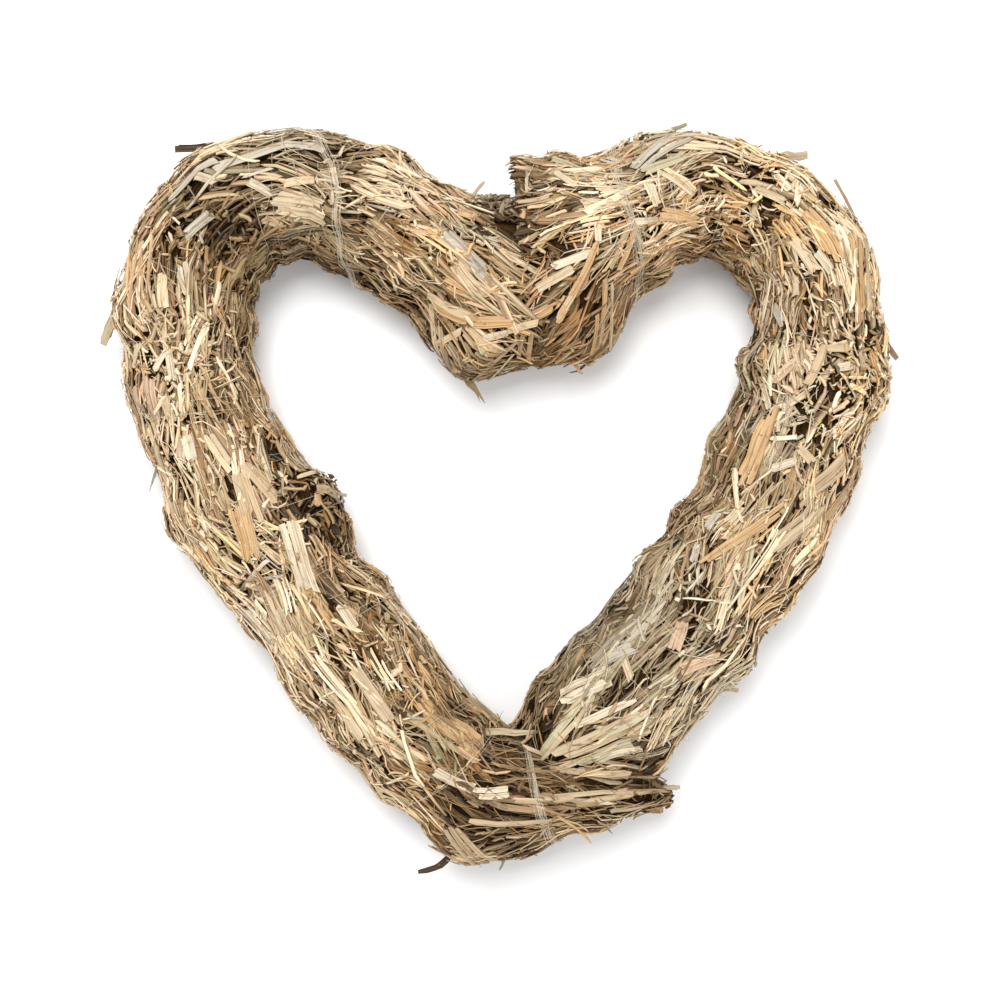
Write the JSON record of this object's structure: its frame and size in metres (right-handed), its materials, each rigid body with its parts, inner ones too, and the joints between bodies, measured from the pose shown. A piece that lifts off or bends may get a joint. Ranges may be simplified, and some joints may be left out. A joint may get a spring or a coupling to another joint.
{
  "type": "straw heart ornament",
  "caption": "Heart-shaped wreath form of packed straw rolls bound with clear thread, open in the middle, lying on its back as a base to decorate or hang.",
  "frame": {"origin": "under the middle of the heart's box, on the surface it lies on", "axes": "+X across the heart to the viewer's right, +Y up the heart from its tip to its lobes, +Z out of its face"},
  "size_m": [0.352, 0.3315, 0.0574],
  "materials": {
    "straw": "packed dry straw, matt with satin stalks",
    "stalk": "single dry stalks, satin",
    "thread": "thin clear nylon, glossy"
  },
  "bodies": {
    "root": {"straw_roll_left": "straw", "straw_roll_right": "straw", "binding_thread_left": "thread", "binding_thread_right": "thread", "loose_stalk_top_left": "stalk", "loose_stalk_left_side": "stalk", "loose_stalk_left_spike": "stalk", "loose_stalk_left_inner": "stalk", "loose_stalk_tip_hook": "stalk", "loose_stalk_tip_point": "stalk", "loose_stalk_tail_upper": "stalk", "loose_stalk_tail_lower": "stalk", "loose_stalk_tail_thorn": "stalk", "loose_stalk_right_leg": "stalk", "loose_stalk_right_side": "stalk", "loose_stalk_right_top": "stalk", "loose_stalk_right_strip": "stalk", "loose_stalk_right_spike": "stalk", "loose_stalk_cleft": "stalk", "loose_stalk_v_left": "stalk", "loose_stalk_v_right": "stalk", "loose_stalk_tip_inner": "stalk"}
  },
  "joints": []
}
